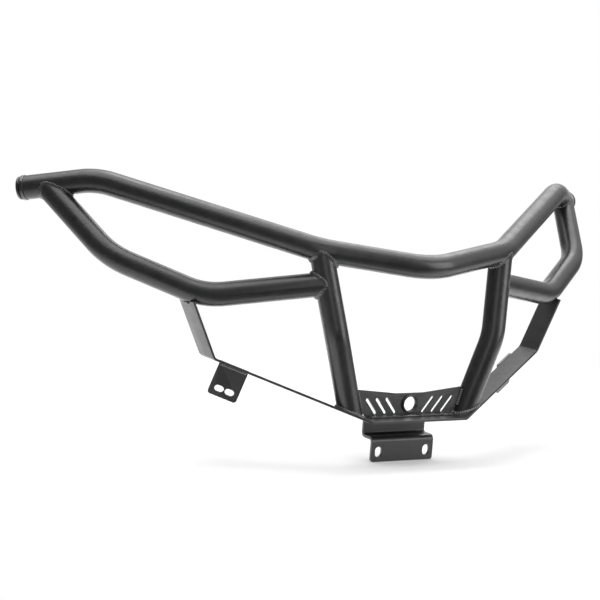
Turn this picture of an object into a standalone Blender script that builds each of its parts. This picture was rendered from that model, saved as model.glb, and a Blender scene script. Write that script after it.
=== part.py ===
"""Front bumper of an all-terrain vehicle: bent round tube welded to a bent flat bar.

X runs across the vehicle, -Y is its front and +Z is up. Left is -X, as seen from the front.
All sizes are in metres. They are measured from the middle of the top rail, on the tube's axis.
The finished pieces are then moved so that the origin is on the centre bracket's rear face,
halfway between its two holes, where the bumper is bolted on.
"""

import math

import bmesh
import bpy
from mathutils import Quaternion, Vector
from mathutils.bvhtree import BVHTree

MM = 0.001
FITTING_GAP = 0.3 * MM
SIDES = ((-1, "left"), (1, "right"))
SHARP_EDGE_ANGLE = math.radians(35)
STEEPEST_LEVEL_RUN = 0.9

# Round tube
TUBE_OD = 31.75 * MM
TUBE_WALL = 2.4 * MM
TUBE_FACETS = 24
TUBE_BEND_RADIUS = 100 * MM
BEND_STEP = math.radians(6.5)

# Top rail, on the tube's axis: a shoulder over each upright, a corner further out, then the end
SHOULDER_HALF_WIDTH = 144.5 * MM
SHOULDER_SET_BACK = 45.5 * MM
SHOULDER_RISE = 17 * MM
CORNER_HALF_WIDTH = 377 * MM
CORNER_SET_BACK = 234 * MM
CORNER_RISE = 83 * MM
END_REACH = 69 * MM
END_SET_BACK = 65 * MM
END_DROP = 19 * MM

# Uprights, from the rail's shoulder over a knee to a foot on the flat bar
KNEE_HALF_WIDTH = 124 * MM
KNEE_SET_BACK = 23 * MM
KNEE_DROP = 94 * MM
FOOT_HALF_WIDTH = 91.5 * MM
FOOT_SET_BACK = 29 * MM

# Side tubes, from the rail's end over an elbow and a dip to the upright
SIDE_JOINT_FROM_END = 27.5 * MM
ELBOW_HALF_WIDTH = 378 * MM
ELBOW_SET_BACK = 180 * MM
ELBOW_DROP = 9.5 * MM
DIP_HALF_WIDTH = 276.5 * MM
DIP_SET_BACK = 106.5 * MM
DIP_DROP = 50.5 * MM
SIDE_JOINT_BELOW_SHOULDER = 44 * MM

# Flat bar under the uprights, measured on its upper face and at its front edge
BAR_WIDTH = 40.5 * MM
BAR_THICKNESS = 3.2 * MM
BAR_BEND_RADIUS = 6 * MM
BAR_DROP = 199.7 * MM
BAR_FLOOR_HALF_WIDTH = 74.5 * MM
BAR_FRONT = -2.5 * MM
BAR_TURN_HALF_WIDTH = 258.5 * MM
BAR_TURN_FRONT = 96.5 * MM
BAR_TURN_DROP = 130 * MM
BAR_TOP_HALF_WIDTH = 293 * MM
BAR_NOTCH_DEPTH = 3 * MM

# Face plate between the uprights, heights measured from the bar
FACE_THICKNESS = 3 * MM
FACE_FRONT = 27 * MM
FACE_HEIGHT = 30.2 * MM
FACE_END_RISE = 6.5 * MM
FACE_FLAT_HALF_WIDTH = 21.5 * MM
FACE_RISE_HALF_WIDTH = 82 * MM
FACE_FOOT_HALF_WIDTH = 67.5 * MM
FACE_CORNER_CUT = 9 * MM
FACE_HOLE_DIAMETER = 19.5 * MM
FACE_HOLE_HEIGHT = 15.8 * MM
HOLE_RING_DIAMETER = 24.5 * MM
HOLE_RING_HEIGHT = 2.5 * MM
HOLE_RING_ROUNDING = 1 * MM
HOLE_FACETS = 32
VENT_WIDTH = 4.2 * MM
VENT_BOTTOM = 3.3 * MM
VENT_TOP = 24.6 * MM
VENT_REACH = 16.7 * MM
VENT_PITCH = 15.4 * MM
VENT_FIRST_HALF_WIDTH = 20.9 * MM
VENT_COUNT = 3

# Centre bracket, one plate bent three times across
BRACKET_THICKNESS = 4 * MM
BRACKET_HALF_WIDTH = 49 * MM
BRACKET_BEND_RADIUS = 5 * MM
BRACKET_FLANGE_FRONT = 18 * MM
BRACKET_WEB_SET_BACK = 60 * MM
BRACKET_LEDGE_DROP = 231.5 * MM
BRACKET_FACE_SET_BACK = 36.8 * MM
BRACKET_BOTTOM_DROP = 263 * MM
BRACKET_CORNER_RADIUS = 4 * MM
BRACKET_SLOT_WIDTH = 10.8 * MM
BRACKET_SLOT_LENGTH = 14.3 * MM
BRACKET_SLOT_HALF_SPACING = 37.8 * MM
BRACKET_SLOT_FROM_BOTTOM = 13.5 * MM

# Tabs behind the flat bar, with their lower edges leaning to the rear
TAB_THICKNESS = 3 * MM
TAB_START = 153 * MM
TAB_WIDTH = 40.4 * MM
TAB_DEPTH = 46.8 * MM
TAB_LEAN = math.radians(6)
TAB_CORNER_RADIUS = 4 * MM
TAB_SLOT_LENGTH = 12.8 * MM
TAB_SLOT_WIDTH = 8.8 * MM
TAB_SLOT_SPACING = 14.5 * MM
TAB_SLOT_FROM_BOTTOM = 10.7 * MM

# Plugs in the rail's ends
PLUG_FLANGE_DIAMETER = 33.6 * MM
PLUG_FLANGE_THICKNESS = 4.5 * MM
PLUG_GROOVE_DIAMETER = 29.5 * MM
PLUG_GROOVE_WIDTH = 2 * MM
PLUG_HEAD_DIAMETER = 31 * MM
PLUG_HEAD_THICKNESS = 4 * MM
PLUG_HEAD_ROUNDING = 2.5 * MM
PLUG_SPIGOT_LENGTH = 18 * MM
PLUG_FACETS = 32

# Weld beads
BEAD_RADIUS = 3.6 * MM
BEAD_FACETS = 8
BEAD_STEPS = 30
BEAD_INSET = 1 * MM
SMALL_BEAD_RADIUS = 3 * MM
SEAM_SIZE = 4 * MM
EDGE_SEAM_SIZE = 3 * MM
SEAM_END_CLEARANCE = 2 * MM
FACE_BEAD_BOTTOM = 12 * MM
FACE_BEAD_TOP = 34 * MM
FOOT_SEAM_RISE = 2 * MM
FOOT_SEAM_REACH = 10.8 * MM
FOOT_SEAM_HALF_WIDTH = 64 * MM
FOOT_SEAM_MITRE = 0.5
BRACKET_BEAD_LENGTH = 80 * MM
ARC_STEPS = 5

# Finishes: colour, roughness, metallic
TUBE_COAT = ((0.022, 0.022, 0.023), 0.48, 0.0)
PLATE_COAT = ((0.020, 0.020, 0.021), 0.52, 0.0)
WELD_COAT = ((0.030, 0.030, 0.031), 0.42, 0.0)
PLUG_PLASTIC = ((0.012, 0.012, 0.013), 0.30, 0.0)

ACROSS = Vector((1, 0, 0))
BACK = Vector((0, 1, 0))
UP = Vector((0, 0, 1))
TUBE_RADIUS = TUBE_OD / 2
CUT_REACH = 2 * TUBE_OD
BRACKET_REAR = BRACKET_FACE_SET_BACK + BRACKET_THICKNESS / 2
BRACKET_HOLE_DROP = BRACKET_BOTTOM_DROP - BRACKET_SLOT_FROM_BOTTOM
ORIGIN = Vector((0, BRACKET_REAR, -BRACKET_HOLE_DROP))


# Scene objects and materials


def clear_scene():
    for obj in list(bpy.data.objects):
        bpy.data.objects.remove(obj, do_unlink=True)


def coat(name, finish):
    colour, roughness, metallic = finish
    material = bpy.data.materials.new(name)
    material.use_nodes = True
    shader = material.node_tree.nodes["Principled BSDF"]
    shader.inputs["Base Color"].default_value = (*colour, 1)
    shader.inputs["Roughness"].default_value = roughness
    shader.inputs["Metallic"].default_value = metallic
    return material


def new_object(name, bm):
    bmesh.ops.recalc_face_normals(bm, faces=bm.faces)
    bmesh.ops.translate(bm, verts=bm.verts, vec=-ORIGIN)
    mesh = bpy.data.meshes.new(name)
    bm.to_mesh(mesh)
    bm.free()
    obj = bpy.data.objects.new(name, mesh)
    bpy.context.scene.collection.objects.link(obj)
    return obj


def flipped(bm, side):
    """A piece is drawn on the right and turned over for the left."""
    for vert in bm.verts:
        vert.co.x *= side
    return bm


def piece(name, bm, finish):
    obj = new_object(name, bm)
    obj.data.materials.append(coat(name + "_coat", finish))
    obj.data.shade_smooth()
    obj.data.set_sharp_from_angle(angle=SHARP_EDGE_ANGLE)
    return obj


def cutter(name, bm):
    obj = new_object(name, bm)
    obj.hide_render = True
    obj.display_type = "WIRE"
    return obj


def cut(obj, *tools):
    for tool in tools:
        modifier = obj.modifiers.new("Cut by " + tool.name, "BOOLEAN")
        modifier.operation = "DIFFERENCE"
        modifier.object = tool


# Paths and sweeps


def bent_path(corners, radius):
    """(point, direction) along these corners, with an arc of this radius at each inner one."""
    corners = [Vector(corner) for corner in corners]
    path = [(corners[0], (corners[1] - corners[0]).normalized())]
    for before, corner, after in zip(corners, corners[1:], corners[2:]):
        arriving = (corner - before).normalized()
        leaving = (after - corner).normalized()
        turn = arriving.angle(leaving)
        reach = radius * math.tan(turn / 2)
        centre = corner + (leaving - arriving).normalized() * radius / math.cos(turn / 2)
        axis = arriving.cross(leaving)
        start = corner - arriving * reach - centre
        steps = max(2, math.ceil(turn / BEND_STEP))
        for step in range(steps + 1):
            turning = Quaternion(axis, turn * step / steps)
            path.append((centre + turning @ start, turning @ arriving))
    path.append((corners[-1], (corners[-1] - corners[-2]).normalized()))
    return path


def skin(bm, ring, following):
    for index in range(len(ring)):
        after = (index + 1) % len(ring)
        bm.faces.new((ring[index], ring[after], following[after], following[index]))


def body_through(sections, is_loop=False):
    """One body through these sections, capped at both ends or joined into a loop."""
    bm = bmesh.new()
    rings = [[bm.verts.new(point) for point in section] for section in sections]
    for ring, following in zip(rings, rings[1:]):
        skin(bm, ring, following)
    if is_loop:
        skin(bm, rings[-1], rings[0])
    else:
        bm.faces.new(rings[0])
        bm.faces.new(rings[-1])
    return bm


def circle(centre, first, second, radius, facets):
    section = []
    for index in range(facets):
        angle = 2 * math.pi * index / facets
        section.append(centre + (first * math.cos(angle) + second * math.sin(angle)) * radius)
    return section


def ring_frames(path):
    """(centre, first, second) of each ring, turned as little as the path allows."""
    direction = path[0][1]
    first = UP.cross(direction) if abs(direction.z) < STEEPEST_LEVEL_RUN else BACK.cross(direction)
    first = first.normalized()
    frames = []
    for point, following in path:
        first = direction.rotation_difference(following) @ first
        first = (first - following * first.dot(following)).normalized()
        direction = following
        frames.append((point, first, direction.cross(first)))
    return frames


def rod(path, radius):
    """A solid round bar along the path."""
    return body_through([circle(*frame, radius, TUBE_FACETS) for frame in ring_frames(path)])


def tube(path):
    """A hollow tube along the path, open at both ends."""
    frames = ring_frames(path)
    outer = [circle(*frame, TUBE_RADIUS, TUBE_FACETS) for frame in frames]
    bore = [circle(*frame, TUBE_RADIUS - TUBE_WALL, TUBE_FACETS) for frame in reversed(frames)]
    return body_through(outer + bore, True)


# Flat plates


def rounded(corners, radius):
    """A closed outline through these corners, rounded where their third value is true."""
    outline = []
    for index, (x, y, is_round) in enumerate(corners):
        corner = Vector((x, y))
        if not is_round:
            outline.append(corner)
            continue
        before = (Vector(corners[index - 1][:2]) - corner).normalized()
        after = (Vector(corners[(index + 1) % len(corners)][:2]) - corner).normalized()
        half = before.angle(after) / 2
        centre = corner + (before + after).normalized() * radius / math.sin(half)
        start = corner + before * radius / math.tan(half) - centre
        end = corner + after * radius / math.tan(half) - centre
        for step in range(ARC_STEPS + 1):
            spoke = start.lerp(end, step / ARC_STEPS)
            outline.append(centre + spoke.normalized() * radius)
    return outline


def slot_outline(start, end, width):
    """A long hole's outline, whose round ends have their centres at start and end."""
    along = (end - start).normalized()
    outline = []
    for centre, first in ((end, -math.pi / 2), (start, math.pi / 2)):
        for step in range(2 * ARC_STEPS + 1):
            angle = first + math.pi * step / (2 * ARC_STEPS)
            spoke = Vector((math.cos(angle), math.sin(angle))) * width / 2
            turned = (along.x * spoke.x - along.y * spoke.y, along.y * spoke.x + along.x * spoke.y)
            outline.append(centre + Vector(turned))
    return outline


def add_prism(bm, outline, origin, right, rise, near, far):
    """Extrudes an outline drawn along right and rise, from near to far along their normal."""
    normal = right.cross(rise)
    flat = [origin + right * point[0] + rise * point[1] for point in outline]
    lower = [bm.verts.new(point + normal * near) for point in flat]
    upper = [bm.verts.new(point + normal * far) for point in flat]
    skin(bm, lower, upper)
    bm.faces.new(lower)
    bm.faces.new(upper)


# Weld beads


def swept(points, spokes, radius, is_ring):
    """A round bead along these points, with the spokes roughly across it."""
    count = len(points)
    sections = []
    for index, point in enumerate(points):
        before = index - 1 if is_ring else max(index - 1, 0)
        after = (index + 1) % count if is_ring else min(index + 1, count - 1)
        along = (points[after] - points[before]).normalized()
        across = (spokes[index] - along * spokes[index].dot(along)).normalized()
        sections.append(circle(point, across, along.cross(across), radius, BEAD_FACETS))
    return body_through(sections, is_ring)


def ring_bead(start, joint, main_solid):
    """A round bead where a tube that runs from start to the joint meets the main solid."""
    run = (joint - start).normalized()
    first = run.orthogonal().normalized()
    second = run.cross(first)
    spokes = []
    points = []
    for step in range(BEAD_STEPS):
        angle = 2 * math.pi * step / BEAD_STEPS
        spoke = first * math.cos(angle) + second * math.sin(angle)
        origin = joint - run * CUT_REACH + spoke * (TUBE_RADIUS - BEAD_INSET)
        spokes.append(spoke)
        points.append(main_solid.ray_cast(origin, run)[0])
    return swept(points, spokes, BEAD_RADIUS, True)


def seam_bead(start, end, first, second, mitre=0.0):
    """A fillet in the corner of two flat faces, as wide on each as first and second are long.

    A mitre makes the outer side shorter than the root, by this share of the first width.
    """
    root = (first.normalized() + second.normalized()) * FITTING_GAP
    inward = (end - start).normalized() * first.length * mitre
    spokes = [(0, 0)]
    for step in range(ARC_STEPS + 1):
        angle = math.pi / 2 * step / ARC_STEPS
        spokes.append((math.cos(angle), math.sin(angle)))
    sections = []
    for at, shift in ((start, inward), (end, -inward)):
        sections.append([at + root + first * x + second * y + shift * x for x, y in spokes])
    return body_through(sections)


# Corners that the pieces share, on the right


def shoulder_corner():
    return Vector((SHOULDER_HALF_WIDTH, SHOULDER_SET_BACK, SHOULDER_RISE))


def rail_corner():
    return Vector((CORNER_HALF_WIDTH, CORNER_SET_BACK, CORNER_RISE))


def rail_end():
    return rail_corner() + Vector((END_REACH, END_SET_BACK, -END_DROP))


def knee_corner():
    return Vector((KNEE_HALF_WIDTH, KNEE_SET_BACK, -KNEE_DROP))


def foot_corner():
    climb = (BAR_DROP - BAR_TURN_DROP) / (BAR_TURN_HALF_WIDTH - BAR_FLOOR_HALF_WIDTH)
    height = -BAR_DROP + (FOOT_HALF_WIDTH - BAR_FLOOR_HALF_WIDTH) * climb
    return Vector((FOOT_HALF_WIDTH, FOOT_SET_BACK, height))


def elbow_corner():
    return Vector((ELBOW_HALF_WIDTH, ELBOW_SET_BACK, -ELBOW_DROP))


def dip_corner():
    return Vector((DIP_HALF_WIDTH, DIP_SET_BACK, -DIP_DROP))


def towards(start, end, distance):
    return start + (end - start).normalized() * distance


def nearest_between(start, end, target):
    run = end - start
    share = (target - start).dot(run) / run.length_squared
    return start.lerp(end, min(1, max(0, share)))


def nearest_on(path, target):
    """The place on a bent path nearest to the target."""
    places = []
    for (start, _), (end, _) in zip(path, path[1:]):
        places.append(nearest_between(start, end, target))
    return min(places, key=lambda place: (place - target).length)


def at_half_width(path, half_width):
    """The place of a bent path that lies this far from the middle."""
    for (start, _), (end, _) in zip(path, path[1:]):
        if min(start.x, end.x) <= half_width <= max(start.x, end.x):
            return start.lerp(end, (half_width - start.x) / (end.x - start.x))
    return path[-1][0]


# Tubes


def rail_path():
    right = [shoulder_corner(), rail_corner(), rail_end()]
    left = [Vector((-corner.x, corner.y, corner.z)) for corner in reversed(right)]
    return bent_path(left + [Vector((0, 0, 0))] + right, TUBE_BEND_RADIUS)


def upright_top():
    return nearest_on(rail_path(), shoulder_corner())


def upright_path():
    """From the rail's axis to the foot and on, past the flat bar that trims it."""
    below = towards(foot_corner(), knee_corner(), -TUBE_OD)
    return bent_path([upright_top(), knee_corner(), below], TUBE_BEND_RADIUS)


def side_path():
    """From the rail's axis near its end to the upright's axis."""
    on_rail = towards(rail_end(), rail_corner(), SIDE_JOINT_FROM_END)
    on_upright = towards(upright_top(), knee_corner(), SIDE_JOINT_BELOW_SHOULDER)
    return bent_path([on_rail, elbow_corner(), dip_corner(), on_upright], TUBE_BEND_RADIUS)


def solid_of(bm):
    solid = BVHTree.FromBMesh(bm)
    bm.free()
    return solid


# The flat bar, and what is set out along it


def bar_corners():
    """Front edge of the upper face at the bends of the right half, and at its notched end."""
    floor = Vector((BAR_FLOOR_HALF_WIDTH, BAR_FRONT, -BAR_DROP))
    turn = Vector((BAR_TURN_HALF_WIDTH, BAR_TURN_FRONT, -BAR_TURN_DROP))
    over = at_half_width(side_path(), BAR_TOP_HALF_WIDTH)
    notch = Vector((0, -BAR_WIDTH / 2, BAR_NOTCH_DEPTH - TUBE_RADIUS))
    return floor, turn, over + notch


def bar_front_beside(point, corners):
    """How far back the bar's front edge is at a point of its outline, as seen from the front."""
    floor, turn, top = corners
    middle = Vector((0, floor.y, floor.z))
    seen = Vector((abs(point.x), 0, point.z))
    places = []
    for start, end in ((middle, floor), (floor, turn), (turn, top)):
        flat_start = Vector((start.x, 0, start.z))
        flat_end = Vector((end.x, 0, end.z))
        place = nearest_between(flat_start, flat_end, seen)
        share = (place - flat_start).length / (flat_end - flat_start).length
        places.append(((place - seen).length, start.lerp(end, share).y))
    return min(places)[1]


def flat_bar(grown=0.0, depth=BAR_THICKNESS, spread=0.0):
    """The bar, or a body for cutting: larger all round, deeper below it or wider to front and rear."""
    corners = bar_corners()
    right = [Vector((corner.x, 0, corner.z)) for corner in corners]
    left = [Vector((-corner.x, 0, corner.z)) for corner in reversed(right)]
    sections = []
    for point, direction in bent_path(left + right, BAR_BEND_RADIUS):
        outward = BACK.cross(direction)
        front = BACK * (bar_front_beside(point, corners) - grown - spread)
        rear = front + BACK * (BAR_WIDTH + 2 * grown + 2 * spread)
        upper = point - outward * grown
        lower = point + outward * (depth + grown)
        sections.append((upper + front, upper + rear, lower + rear, lower + front))
    return body_through(sections)


# Face plate


def face_foot():
    """Where the plate's front face meets the bar, in the middle."""
    return Vector((0, FACE_FRONT, -BAR_DROP))


def hole_centre():
    return face_foot() + UP * FACE_HOLE_HEIGHT


def face_outline():
    """Right half: up from the foot's corner cut, past the tube's surface and in along the top."""
    slope = FACE_END_RISE / (FACE_RISE_HALF_WIDTH - FACE_FLAT_HALF_WIDTH)
    reach = (KNEE_HALF_WIDTH + FOOT_HALF_WIDTH) / 2
    right = [
        (FACE_FOOT_HALF_WIDTH, FITTING_GAP),
        (FACE_FOOT_HALF_WIDTH + FACE_CORNER_CUT, FACE_CORNER_CUT),
        (reach, FACE_HEIGHT / 2),
        (reach, FACE_HEIGHT + slope * (reach - FACE_FLAT_HALF_WIDTH)),
        (FACE_FLAT_HALF_WIDTH, FACE_HEIGHT),
    ]
    left = [(-x, y) for x, y in reversed(right)]
    return right + left


def face_plate():
    bm = bmesh.new()
    add_prism(bm, face_outline(), face_foot(), ACROSS, UP, -FACE_THICKNESS, 0)
    return bm


def face_cuts():
    """Three slanted vents on each side."""
    bm = bmesh.new()
    for side, _ in SIDES:
        for index in range(VENT_COUNT):
            inner = VENT_FIRST_HALF_WIDTH + index * VENT_PITCH
            bottom = Vector((inner * side, VENT_BOTTOM))
            top = Vector(((inner + VENT_REACH) * side, VENT_TOP))
            inset = (top - bottom).normalized() * VENT_WIDTH / 2
            outline = slot_outline(bottom + inset, top - inset, VENT_WIDTH)
            add_prism(bm, outline, face_foot(), ACROSS, UP, -2 * FACE_THICKNESS, FACE_THICKNESS)
    return bm


def face_hole():
    radius = FACE_HOLE_DIAMETER / 2
    sections = []
    for ahead in (-2 * FACE_THICKNESS, FACE_THICKNESS):
        sections.append(circle(hole_centre() - BACK * ahead, ACROSS, UP, radius, HOLE_FACETS))
    return body_through(sections)


def hole_ring():
    """Raised ring round the hole, on the plate's front face."""
    inner = FACE_HOLE_DIAMETER / 2
    outer = HOLE_RING_DIAMETER / 2
    front = FITTING_GAP + HOLE_RING_HEIGHT
    profile = [(FITTING_GAP, inner), (FITTING_GAP, outer)]
    for step in range(ARC_STEPS + 1):
        angle = math.pi / 2 * step / ARC_STEPS
        ahead = front - HOLE_RING_ROUNDING * (1 - math.sin(angle))
        profile.append((ahead, outer - HOLE_RING_ROUNDING * (1 - math.cos(angle))))
    profile.append((front, inner))
    sections = []
    for ahead, radius in profile:
        sections.append(circle(hole_centre() - BACK * ahead, ACROSS, UP, radius, HOLE_FACETS))
    return body_through(sections, True)


def face_bead(upright_solid):
    """Bead up the plate's front face, where it meets the upright."""
    points = []
    for step in range(ARC_STEPS):
        height = FACE_BEAD_BOTTOM + (FACE_BEAD_TOP - FACE_BEAD_BOTTOM) * step / (ARC_STEPS - 1)
        points.append(upright_solid.ray_cast(face_foot() + UP * height, ACROSS)[0])
    spokes = [ACROSS] * len(points)
    return swept(points, spokes, SMALL_BEAD_RADIUS, False)


def face_backing():
    """Body behind the plate's front face, for trimming the beads at its sides."""
    half = KNEE_HALF_WIDTH
    outline = [(-half, -half), (half, -half), (half, half), (-half, half)]
    bm = bmesh.new()
    add_prism(bm, outline, face_foot(), ACROSS, UP, -FACE_THICKNESS, FITTING_GAP)
    return bm


# Centre bracket


def centre_bracket():
    flange = -BAR_DROP - BAR_THICKNESS - FITTING_GAP - BRACKET_THICKNESS / 2
    corners = [
        (0, BRACKET_FLANGE_FRONT, flange),
        (0, BRACKET_WEB_SET_BACK, flange),
        (0, BRACKET_WEB_SET_BACK, -BRACKET_LEDGE_DROP),
        (0, BRACKET_FACE_SET_BACK, -BRACKET_LEDGE_DROP),
        (0, BRACKET_FACE_SET_BACK, -BRACKET_BOTTOM_DROP),
    ]
    side = ACROSS * BRACKET_HALF_WIDTH
    sections = []
    for point, direction in bent_path(corners, BRACKET_BEND_RADIUS):
        half = ACROSS.cross(direction) * BRACKET_THICKNESS / 2
        upper = (point - side + half, point + side + half)
        lower = (point + side - half, point - side - half)
        sections.append(upper + lower)
    return body_through(sections)


def bracket_cuts():
    """Two upright long holes, and what rounding takes off the lower corners."""
    frame = (BACK * BRACKET_FACE_SET_BACK, ACROSS, UP)
    bottom = -BRACKET_BOTTOM_DROP
    half_run = Vector((0, (BRACKET_SLOT_LENGTH - BRACKET_SLOT_WIDTH) / 2))
    margin = BRACKET_THICKNESS
    radius = BRACKET_CORNER_RADIUS
    bm = bmesh.new()
    for side, _ in SIDES:
        centre = Vector((side * BRACKET_SLOT_HALF_SPACING, -BRACKET_HOLE_DROP))
        outline = slot_outline(centre - half_run, centre + half_run, BRACKET_SLOT_WIDTH)
        add_prism(bm, outline, *frame, -BRACKET_THICKNESS, BRACKET_THICKNESS)
        inner = BRACKET_HALF_WIDTH - radius
        corner = [(BRACKET_HALF_WIDTH + margin, bottom - margin)]
        corner.append((BRACKET_HALF_WIDTH + margin, bottom + radius))
        for step in range(ARC_STEPS + 1):
            angle = math.pi / 2 * step / ARC_STEPS
            corner.append((inner + radius * math.cos(angle), bottom + radius - radius * math.sin(angle)))
        corner.append((inner, bottom - margin))
        outline = [(x * side, y) for x, y in corner]
        add_prism(bm, outline, *frame, -BRACKET_THICKNESS, BRACKET_THICKNESS)
    return bm


def bracket_seam(set_back, depth, first, second, size):
    """Seam across the bracket's flange, this far below the bar's upper face."""
    corner = Vector((0, set_back, -BAR_DROP - depth))
    half = ACROSS * BRACKET_BEAD_LENGTH / 2
    return seam_bead(corner - half, corner + half, first * size, second * size)


# Tabs


def tab_frame():
    """Upper inner corner of the tab's front face, then the directions along it and up it."""
    floor, turn, _ = bar_corners()
    along = (turn - floor).normalized()
    upright_normal = UP.cross(along).normalized()
    corner = floor + BACK * BAR_WIDTH + along * TAB_START + upright_normal * FITTING_GAP
    behind = Quaternion(along, TAB_LEAN) @ upright_normal
    return corner, along, along.cross(behind)


def tab_plate():
    right = TAB_WIDTH
    corners = [(0, 0, False), (0, -TAB_DEPTH, True), (right, -TAB_DEPTH, True), (right, 0, False)]
    bm = bmesh.new()
    add_prism(bm, rounded(corners, TAB_CORNER_RADIUS), *tab_frame(), -TAB_THICKNESS, 0)
    return bm


def tab_cuts():
    half_run = Vector(((TAB_SLOT_LENGTH - TAB_SLOT_WIDTH) / 2, 0))
    bm = bmesh.new()
    for side, _ in SIDES:
        across = TAB_WIDTH / 2 + side * TAB_SLOT_SPACING / 2
        centre = Vector((across, TAB_SLOT_FROM_BOTTOM - TAB_DEPTH))
        outline = slot_outline(centre - half_run, centre + half_run, TAB_SLOT_WIDTH)
        add_prism(bm, outline, *tab_frame(), -2 * TAB_THICKNESS, TAB_THICKNESS)
    return bm


def tab_seam():
    """Seam under the bar's rear edge, where it meets the tab's front face."""
    corner, along, rise = tab_frame()
    floor, turn, _ = bar_corners()
    behind = rise.cross(along)
    run = Vector((turn.x - floor.x, 0, turn.z - floor.z)).normalized()
    across = (BACK - along * along.y).normalized()
    under = corner + BACK.cross(run) * BAR_THICKNESS
    root = under + across * (corner - under).dot(behind) / across.dot(behind)
    start = root + along * SEAM_END_CLEARANCE
    end = root + along * (TAB_WIDTH - SEAM_END_CLEARANCE)
    return seam_bead(start, end, -across * EDGE_SEAM_SIZE, -rise * EDGE_SEAM_SIZE)


# Plugs and the bar's ends


def end_plug():
    """Turned about the rail's end: spigot, flange, groove and rounded head."""
    bore = (TUBE_RADIUS - TUBE_WALL) * math.cos(math.pi / TUBE_FACETS)
    spigot = bore - FITTING_GAP
    flange_end = FITTING_GAP + PLUG_FLANGE_THICKNESS
    groove_end = flange_end + PLUG_GROOVE_WIDTH
    head_end = groove_end + PLUG_HEAD_THICKNESS
    head = PLUG_HEAD_DIAMETER / 2
    profile = [(-PLUG_SPIGOT_LENGTH, spigot), (FITTING_GAP, spigot)]
    profile += [(FITTING_GAP, PLUG_FLANGE_DIAMETER / 2), (flange_end, PLUG_FLANGE_DIAMETER / 2)]
    profile += [(flange_end, PLUG_GROOVE_DIAMETER / 2), (groove_end, PLUG_GROOVE_DIAMETER / 2)]
    profile.append((groove_end, head))
    for step in range(ARC_STEPS + 1):
        angle = math.pi / 2 * step / ARC_STEPS
        rounding = PLUG_HEAD_ROUNDING
        along = head_end - rounding + rounding * math.sin(angle)
        profile.append((along, head - rounding + rounding * math.cos(angle)))
    axis = (rail_end() - rail_corner()).normalized()
    first = axis.orthogonal().normalized()
    second = axis.cross(first)
    sections = []
    for at, radius in profile:
        sections.append(circle(rail_end() + axis * at, first, second, radius, PLUG_FACETS))
    return body_through(sections)


def bar_end_bead(below, side_solid):
    """Bead across the bar's end under the side tube, on its face this far below the upper one."""
    _, turn, top = bar_corners()
    run = Vector((top.x - turn.x, 0, top.z - turn.z)).normalized()
    outward = BACK.cross(run)
    middle = top + BACK * BAR_WIDTH / 2 + outward * below - run * TUBE_OD
    notch_half = math.sqrt(TUBE_RADIUS**2 - (TUBE_RADIUS - BAR_NOTCH_DEPTH) ** 2)
    half_length = notch_half - SMALL_BEAD_RADIUS
    points = []
    for step in range(ARC_STEPS):
        along = half_length * (2 * step / (ARC_STEPS - 1) - 1)
        points.append(side_solid.ray_cast(middle + BACK * along, run)[0])
    spokes = [outward] * len(points)
    return swept(points, spokes, SMALL_BEAD_RADIUS, False)


# Assembly


def build_side(side, name, rail_clear, bar_clear, bar_below, face_clear):
    """One side's tubes, tab, plug and beads. Returns what trims the bar and the face plate."""
    rail_solid = solid_of(rod(rail_path(), TUBE_RADIUS))
    upright_solid = solid_of(rod(upright_path(), TUBE_RADIUS))
    side_solid = solid_of(rod(side_path(), TUBE_RADIUS))
    bar_solid = solid_of(flat_bar(spread=TUBE_OD))
    upright_rod = flipped(rod(upright_path(), TUBE_RADIUS + FITTING_GAP), side)
    side_rod = flipped(rod(side_path(), TUBE_RADIUS + FITTING_GAP), side)
    upright_clear = cutter(name + "_upright_clear", upright_rod)
    side_clear = cutter(name + "_side_clear", side_rod)
    on_rail = side_path()[0][0]
    on_upright = side_path()[-1][0]

    def add(part, bm, finish, *tools):
        cut(piece(name + "_" + part, flipped(bm, side), finish), *tools)

    add("upright", tube(upright_path()), TUBE_COAT, rail_clear, bar_below)
    add("side_tube", tube(side_path()), TUBE_COAT, rail_clear, upright_clear)
    add("tab", tab_plate(), PLATE_COAT, cutter(name + "_tab_cuts", flipped(tab_cuts(), side)))
    add("plug", end_plug(), PLUG_PLASTIC)
    add("tab_weld", tab_seam(), WELD_COAT)
    bead = ring_bead(knee_corner(), upright_top(), rail_solid)
    add("upright_rail_weld", bead, WELD_COAT, rail_clear, upright_clear)
    bead = ring_bead(elbow_corner(), on_rail, rail_solid)
    add("side_rail_weld", bead, WELD_COAT, rail_clear, side_clear)
    bead = ring_bead(dip_corner(), on_upright, upright_solid)
    add("side_upright_weld", bead, WELD_COAT, side_clear, upright_clear)
    bead = ring_bead(knee_corner(), foot_corner(), bar_solid)
    add("foot_weld", bead, WELD_COAT, bar_below, upright_clear)
    add("face_weld", face_bead(upright_solid), WELD_COAT, upright_clear, face_clear)
    for depth, face in ((0, "inner"), (BAR_THICKNESS, "outer")):
        bead = bar_end_bead(depth, side_solid)
        add("bar_" + face + "_weld", bead, WELD_COAT, bar_clear, side_clear)
    return upright_clear, side_clear


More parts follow.
